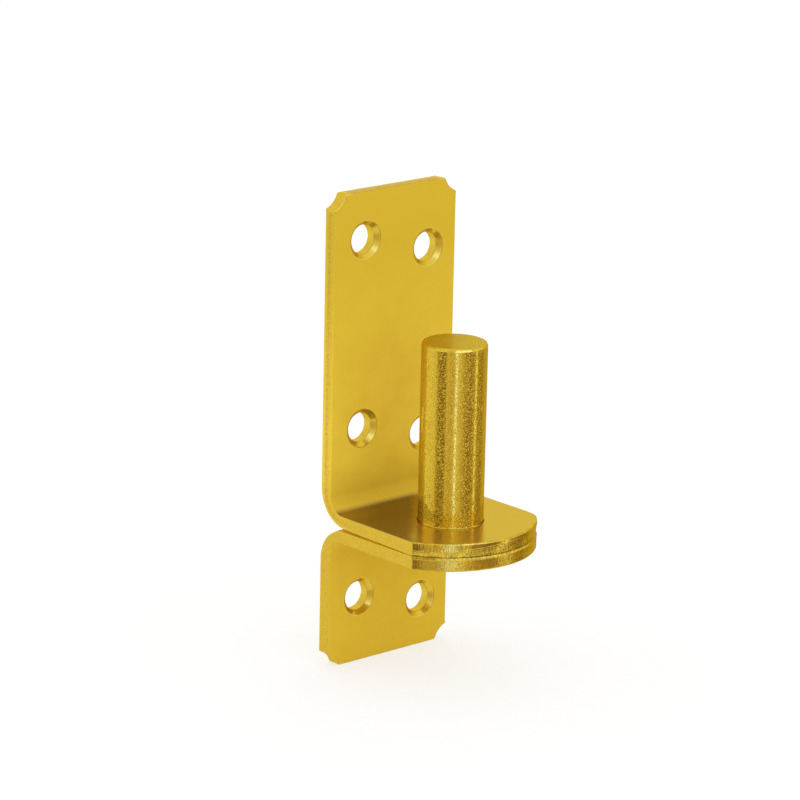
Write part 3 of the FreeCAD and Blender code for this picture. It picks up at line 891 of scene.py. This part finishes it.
def lathe_tree():
    """Geometry Nodes that turn the half section round the pin's axis."""
    tree = bpy.data.node_groups.new("turned_pin", "GeometryNodeTree")
    sizes = ["Diameter", "Height", "Chamfer", "Foot ring", "Foot ring height", "Tenon"]
    sizes += ["Shelf depth", "Rivet head", "Rivet head height", "Edge softness"]
    for name in sizes:
        tree.interface.new_socket(name, in_out="INPUT", socket_type="NodeSocketFloat")
    tree.interface.new_socket("Segments", in_out="INPUT", socket_type="NodeSocketInt")
    tree.interface.new_socket("Finish", in_out="INPUT", socket_type="NodeSocketMaterial")
    tree.interface.new_socket("Pin", in_out="OUTPUT", socket_type="NodeSocketGeometry")
    given = add(tree, "NodeGroupInput").node.outputs
    corners = pin_section(tree, given)
    line = add(tree, "GeometryNodeMeshLine", {"Count": len(corners)})
    index = add(tree, "GeometryNodeInputIndex")

    def by_corner(kind, values):
        """The value that belongs to each corner of the section."""
        switch = add(tree, "GeometryNodeIndexSwitch", data_type=kind).node
        while len(switch.index_switch_items) < len(values):
            switch.index_switch_items.new()
        tree.links.new(index, switch.inputs["Index"])
        sockets = [s for s in switch.inputs if s.name != "Index" and s.type != "CUSTOM"]
        for socket, value in zip(sockets, values):
            if isinstance(value, bpy.types.NodeSocket):
                tree.links.new(value, socket)
            else:
                socket.default_value = value
        return switch.outputs[0]

    spots = []
    for radius, height, _ in corners:
        spots.append(add(tree, "ShaderNodeCombineXYZ", {"X": radius, "Z": height}))
    placed = {"Geometry": line, "Position": by_corner("VECTOR", spots)}
    placed = add(tree, "GeometryNodeSetPosition", placed)
    curve = add(tree, "GeometryNodeMeshToCurve", {"Mesh": placed})
    soften = {"Curve": curve, "Radius": by_corner("FLOAT", [soft for _, _, soft in corners])}
    soften.update({"Count": 5, "Limit Radius": True})
    section = add(tree, "GeometryNodeFilletCurve", soften, mode="POLY")
    size = add(tree, "GeometryNodeAttributeDomainSize", {"Geometry": section}, component="CURVE")
    rows = size.node.outputs["Point Count"]
    columns = add(tree, "ShaderNodeMath", (given["Segments"], 1), operation="ADD")
    grid = add(tree, "GeometryNodeMeshGrid", {"Vertices X": columns, "Vertices Y": rows})
    row = add(tree, "ShaderNodeMath", (index, rows), operation="MODULO")
    column = add(tree, "ShaderNodeMath", (index, 0.5), operation="ADD")
    column = add(tree, "ShaderNodeMath", (column, rows), operation="DIVIDE")
    column = add(tree, "ShaderNodeMath", (column,), operation="FLOOR")
    turn = add(tree, "ShaderNodeMath", (column, given["Segments"]), operation="DIVIDE")
    turn = add(tree, "ShaderNodeMath", (turn, 2 * math.pi), operation="MULTIPLY")
    position = add(tree, "GeometryNodeInputPosition")
    options = {"data_type": "FLOAT_VECTOR", "domain": "POINT"}
    sample = {"Geometry": section, "Value": position, "Index": row}
    sample = add(tree, "GeometryNodeSampleIndex", sample, **options)
    across = add(tree, "ShaderNodeSeparateXYZ", {"Vector": sample}).node.outputs
    spot = {"Z": across["Z"]}
    for axis, operation in (("X", "COSINE"), ("Y", "SINE")):
        share = add(tree, "ShaderNodeMath", (turn,), operation=operation)
        spot[axis] = add(tree, "ShaderNodeMath", (across["X"], share), operation="MULTIPLY")
    spot = add(tree, "ShaderNodeCombineXYZ", spot)
    shaped = add(tree, "GeometryNodeSetPosition", {"Geometry": grid, "Position": spot})
    closed = add(tree, "GeometryNodeMergeByDistance", {"Geometry": shaped, "Distance": 1e-6})
    real = add(tree, "GeometryNodeRealizeInstances", {"Geometry": closed})
    dressed = {"Geometry": real, "Material": given["Finish"]}
    dressed = add(tree, "GeometryNodeSetMaterial", dressed)
    add(tree, "NodeGroupOutput", {"Pin": dressed})
    return tree


def baked(name, tree, values):
    """Evaluates a tree with the given inputs and returns a plain mesh."""
    blank = bpy.data.meshes.new(name)
    holder = bpy.data.objects.new(name, blank)
    bpy.context.scene.collection.objects.link(holder)
    modifier = holder.modifiers.new("Geometry Nodes", "NODES")
    modifier.node_group = tree
    for item in tree.interface.items_tree:
        if item.item_type == "SOCKET" and item.in_out == "INPUT":
            modifier[item.identifier] = values[item.name]
    graph = bpy.context.evaluated_depsgraph_get()
    mesh = bpy.data.meshes.new_from_object(holder.evaluated_get(graph), depsgraph=graph)
    bpy.data.objects.remove(holder)
    bpy.data.meshes.remove(blank)
    mesh.name = name
    return mesh


# Stage


def camera_place(stage):
    """The camera's matrix from where it looks, how far off it stands and how it leans."""
    level = math.cos(stage.elevation)
    away = (math.sin(stage.azimuth) * level, -math.cos(stage.azimuth) * level)
    away = Vector((*away, math.sin(stage.elevation)))
    target = Vector((stage.target_x, stage.target_y, stage.target_z))
    turned = away.to_track_quat("Z", "Y").to_matrix().to_4x4()
    lean = Matrix.Rotation(stage.roll, 4, "Z")
    return Matrix.Translation(target + away * stage.distance) @ turned @ lean


# What the gloss of the metal sees round the part at its own height: compass angle in degrees from
# the part's front, positive towards its right, light level, and how much warmer than paper of that
# level the wall is there. Dark cards stand between paper walls.
LOW_STUDIO = (
    (-160, 1.22, 0.0),
    (-112, 0.98, 0.0),
    (-105, 0.90, 0.0),
    (-100, 0.50, 0.0),
    (-96, 0.25, 0.0),
    (-71, 0.20, 0.0),
    (-64.5, 0.88, 0.0),
    (-56, 0.66, 0.0),
    (-48, 0.66, 0.0),
    (-39.5, 0.76, 0.0),
    (-35.5, 1.35, -0.9),
    (-31.5, 1.40, -1.4),
    (-28.5, 0.98, -0.2),
    (-26, 0.92, 0.0),
    (-14, 0.72, 0.0),
    (2, 0.38, 0.0),
    (10, 0.28, 0.0),
    (23, 0.27, 0.0),
    (36, 0.46, 0.0),
    (39.5, 1.45, 0.0),
    (43.5, 1.45, 0.0),
    (49.5, 0.40, 0.0),
    (73, 0.26, 0.0),
    (92, 0.72, -0.1),
    (112, 0.84, 0.2),
    (126, 0.70, 0.5),
    (145, 0.65, 0.5),
    (165, 1.05, 0.1),
)
# The same above the part.
HIGH_STUDIO = (
    (-170, 0.95, 0.0),
    (-110, 1.05, 0.0),
    (-70, 1.05, 0.0),
    (-50, 0.80, 0.0),
    (-36, 1.10, -0.3),
    (5, 1.10, -0.2),
    (34, 1.10, 0.0),
    (60, 1.10, 0.0),
    (90, 0.85, 0.0),
    (120, 1.05, 0.0),
    (140, 1.12, 0.0),
    (160, 1.05, 0.0),
)


WHITE = (1.0, 1.0, 1.0, 1.0)
CEILING = (1.02, 1.02, 1.02, 1.0)
# The lamps over the front are cooler than the paper.
BANK_LIGHT = (1.5, 2.0, 6.5, 1.0)
# Red, green and blue of the cards where one piece mirrors them in another.
TWICE_LIFT = (1.5, 1.65, 3.4)


def light_ramp(tree, compass, levels):
    """A colour ramp round the compass. Dim places are warmer than white paper, and lamps cooler."""
    turn = add(tree, "ShaderNodeMapRange", (compass, -180, 180, 0, 1))
    ramp = add(tree, "ShaderNodeValToRGB", (turn,))
    stops = ramp.node.color_ramp.elements
    while len(stops) < len(levels):
        stops.new(0.5)
    for stop in stops:
        stop.position = 0.0
    for index, (turn, level, warmth) in enumerate(levels):
        stop = stops[index]
        stop.position = (turn + 180) / 360
        warm = max(0.0, 1 - level) + warmth
        shine = max(0.0, level - 1)
        # Blue falls and rises further than green.
        green = 1 - 0.6 * warm
        blue = max(0.15, 1 - 1.5 * warm)
        if warm < 0:
            green = 1 - 0.3 * warm
            blue = 1 - 2.8 * warm
        colour = (level, level * (green + 0.1 * shine), level * (blue + 0.8 * shine))
        # A ramp's colour stops at 1, so it holds half of each level.
        stop.color = [value / 2 for value in colour] + [1.0]
    return add(tree, "ShaderNodeVectorMath", (ramp, 2.0), operation="SCALE")


def between(tree, value, opening, closing):
    """One between two soft edges, each given as where it starts and where it ends, and else 0."""
    soft = {"interpolation_type": "SMOOTHSTEP"}
    opened = add(tree, "ShaderNodeMapRange", (value, *opening), **soft)
    closed = add(tree, "ShaderNodeMapRange", (value, *closing), **soft)
    return add(tree, "ShaderNodeMath", (opened, closed), operation="SUBTRACT")


def studio_world():
    """White paper for the camera and the floor, and a studio with dark cards for the gloss.

    A bank of lamps hangs over the part's front. What one piece mirrors in another shows the same
    cards, brighter and cooler, because the two glosses would dim and gild it twice.
    """
    world = bpy.data.worlds.new("plain_studio")
    world.use_nodes = True
    tree = world.node_tree
    tree.nodes.clear()
    soft = {"interpolation_type": "SMOOTHSTEP"}
    direction = add(tree, "ShaderNodeTexCoord").node.outputs["Generated"]
    axes = add(tree, "ShaderNodeSeparateXYZ", (direction,)).node.outputs
    forward = add(tree, "ShaderNodeMath", (axes["Y"], -1.0), operation="MULTIPLY")
    compass = add(tree, "ShaderNodeMath", (axes["X"], forward), operation="ARCTAN2")
    compass = add(tree, "ShaderNodeMath", (compass,), operation="DEGREES")
    height = add(tree, "ShaderNodeMath", (axes["Z"],), operation="ARCSINE")
    height = add(tree, "ShaderNodeMath", (height,), operation="DEGREES")
    low = light_ramp(tree, compass, LOW_STUDIO)
    high = light_ramp(tree, compass, HIGH_STUDIO)

    above_paper = add(tree, "ShaderNodeMapRange", (height, -42, -24), **soft)
    seen = add(tree, "ShaderNodeMix", (above_paper, WHITE, low), data_type="RGBA")
    above_cards = add(tree, "ShaderNodeMapRange", (height, -6, 6), **soft)
    seen = add(tree, "ShaderNodeMix", (above_cards, seen, high), data_type="RGBA")

    path = add(tree, "ShaderNodeLightPath").node.outputs
    twice = add(tree, "ShaderNodeMath", (path["Glossy Depth"], 1.5), operation="GREATER_THAN")
    lifted = add(tree, "ShaderNodeVectorMath", (low, TWICE_LIFT), operation="MULTIPLY")
    above_cards = add(tree, "ShaderNodeMapRange", (height, 24, 34), **soft)
    again = add(tree, "ShaderNodeMix", (above_cards, lifted, high), data_type="RGBA")
    seen = add(tree, "ShaderNodeMix", (twice, seen, again), data_type="RGBA")

    across = between(tree, compass, (-41, -35), (18, 30))
    up = between(tree, height, (18, 24), (44, 50))
    bank = add(tree, "ShaderNodeMath", (across, up), operation="MULTIPLY")
    bank = add(tree, "ShaderNodeMath", (bank, 0.9), operation="MULTIPLY")
    seen = add(tree, "ShaderNodeMix", (bank, seen, BANK_LIGHT), data_type="RGBA")
    overhead = add(tree, "ShaderNodeMapRange", (height, 50, 70), **soft)
    seen = add(tree, "ShaderNodeMix", (overhead, seen, CEILING), data_type="RGBA")
    colour = (path["Is Glossy Ray"], WHITE, seen)
    colour = add(tree, "ShaderNodeMix", colour, data_type="RGBA")
    sky = add(tree, "ShaderNodeBackground", {"Color": colour, "Strength": 1.0})
    add(tree, "ShaderNodeOutputWorld", {"Surface": sky})
    return world


def paper_finish(finish):
    """Matt white paper sweep: no gloss, so it shows only the part's own soft shadow."""
    material, tree = new_material("matt_white_paper")
    colours = (grain(tree, 0.8 * MM), linear(finish.floor), linear(finish.fibre))
    shade = add(tree, "ShaderNodeMix", colours, data_type="RGBA")
    paper = add(tree, "ShaderNodeBsdfDiffuse", {"Color": shade})
    camera = add(tree, "ShaderNodeLightPath").node.outputs["Is Camera Ray"]
    # Seen by the camera, the paper glows a little, so that it is white and keeps its shadow.
    glow = add(tree, "ShaderNodeEmission", {"Strength": 1.08})
    share = add(tree, "ShaderNodeMath", (camera, 0.6), operation="MULTIPLY")
    both = add(tree, "ShaderNodeMixShader", (share, paper, glow))
    add(tree, "ShaderNodeOutputMaterial", {"Surface": both})
    return material


# Operators


FLOOR_WIDTH = 6.0
# How the lower plate differs from the upper one.
LOWER_PLATE = {
    "height": 36.5 * MM,
    "inside": 3.5 * MM,
    "outside": 9.0 * MM,
    "front_edge": 0.5 * MM,
    "left_land": 3.0 * MM,
    "right_land": 3.0 * MM,
}
# Screw holes in mm, across from the pin's axis and away from the seam. The lower plate is drilled
# before it is turned over, so its left and right are swapped here.
UPPER_HOLES = ((-9.6, 70.0), (10.6, 65.4), (-9.6, 23.1), (10.6, 18.5))
LOWER_HOLES = ((-10.6, 24.6), (9.6, 20.0))


class GATE_HINGE_OT_stage(bpy.types.Operator):
    """Sets the camera, the studio and the paper floor."""

    bl_idname = "gate_hinge.stage"
    bl_label = "Set the stage"

    def execute(self, context):
        given = settings()
        scene = context.scene
        camera = bpy.data.objects.new("camera", bpy.data.cameras.new("camera"))
        scene.collection.objects.link(camera)
        camera.data.sensor_width = 36
        camera.data.lens = given.stage.lens
        camera.data.clip_start = 0.01
        camera.matrix_world = camera_place(given.stage)
        scene.camera = camera
        scene.world = studio_world()
        scene.view_settings.view_transform = "Standard"
        half = FLOOR_WIDTH / 2
        level = LOWER_BOX[0][2]
        corners = [(x * half, y * half, level) for x, y in ((-1, -1), (1, -1), (1, 1), (-1, 1))]
        mesh = bpy.data.meshes.new("paper_floor")
        mesh.from_pydata(corners, [], [(0, 1, 2, 3)])
        mesh.materials.append(paper_finish(given.finish))
        floor = bpy.data.objects.new("paper_floor", mesh)
        scene.collection.objects.link(floor)
        floor.visible_glossy = False
        floor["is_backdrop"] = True
        return {"FINISHED"}


class GATE_HINGE_OT_plates(bpy.types.Operator):
    """Builds both bent plates from the same strip."""

    bl_idname = "gate_hinge.plates"
    bl_label = "Build the plates"

    def execute(self, context):
        given = settings()
        strip = given.strip
        makers = (rolled_strip_finish, sheared_edge_finish, drilled_finish)
        finishes = [make(given.finish) for make in makers]
        for name, value in LOWER_PLATE.items():
            setattr(given.lower, name, value)
        plates = (
            ("upper_plate", given.upper, UPPER_HOLES, False, 3),
            ("lower_plate", given.lower, LOWER_HOLES, True, 8),
        )
        for node, plate, places, turned_over, seed in plates:
            holes = [(x * MM, z * MM) for x, z in places]
            bent_plate(f"{node}_strip", node, strip, plate, holes, turned_over, seed, finishes)
        return {"FINISHED"}


class GATE_HINGE_OT_pin(bpy.types.Operator):
    """Turns the pin with its foot ring, tenon and rivet head."""

    bl_idname = "gate_hinge.pin"
    bl_label = "Build the pin"

    def execute(self, context):
        given = settings()
        pin = given.pin
        values = {
            "Diameter": pin.diameter,
            "Height": pin.height,
            "Chamfer": pin.chamfer,
            "Foot ring": pin.ring,
            "Foot ring height": pin.ring_height,
            "Tenon": pin.tenon,
            "Shelf depth": pin.shelf,
            "Rivet head": pin.head,
            "Rivet head height": pin.head_height,
            "Edge softness": pin.softness,
            "Segments": pin.segments,
            "Finish": turned_bar_finish(given.finish),
        }
        mesh = baked("turned_pin", lathe_tree(), values)
        close_and_smooth(mesh)
        finished_piece("turned_pin", mesh, "hinge_pin")
        return {"FINISHED"}


class GATE_HINGE_PT_panel(bpy.types.Panel):
    """Lists the steps in the sidebar."""

    bl_idname = "GATE_HINGE_PT_panel"
    bl_label = "Gate hinge pin"
    bl_space_type = "VIEW_3D"
    bl_region_type = "UI"
    bl_category = "Gate hinge pin"

    def draw(self, context):
        for step in (GATE_HINGE_OT_stage, GATE_HINGE_OT_plates, GATE_HINGE_OT_pin):
            self.layout.operator(step.bl_idname)


CLASSES = (
    StripSizes,
    PlateSizes,
    PinSizes,
    FinishColours,
    StageSizes,
    HingeSettings,
    GATE_HINGE_OT_stage,
    GATE_HINGE_OT_plates,
    GATE_HINGE_OT_pin,
    GATE_HINGE_PT_panel,
)


def register():
    for item in CLASSES:
        bpy.utils.register_class(item)
    bpy.types.Scene.gate_hinge = PointerProperty(type=HingeSettings)


def unregister():
    del bpy.types.Scene.gate_hinge
    for item in reversed(CLASSES):
        bpy.utils.unregister_class(item)


def main():
    register()
    bpy.ops.gate_hinge.stage()
    bpy.ops.gate_hinge.plates()
    bpy.ops.gate_hinge.pin()
    boxes = {"cad": CAD_BOX, "visual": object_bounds()}
    plain = {name: [list(corner) for corner in box] for name, box in boxes.items()}


if __name__ == "__main__":
    main()
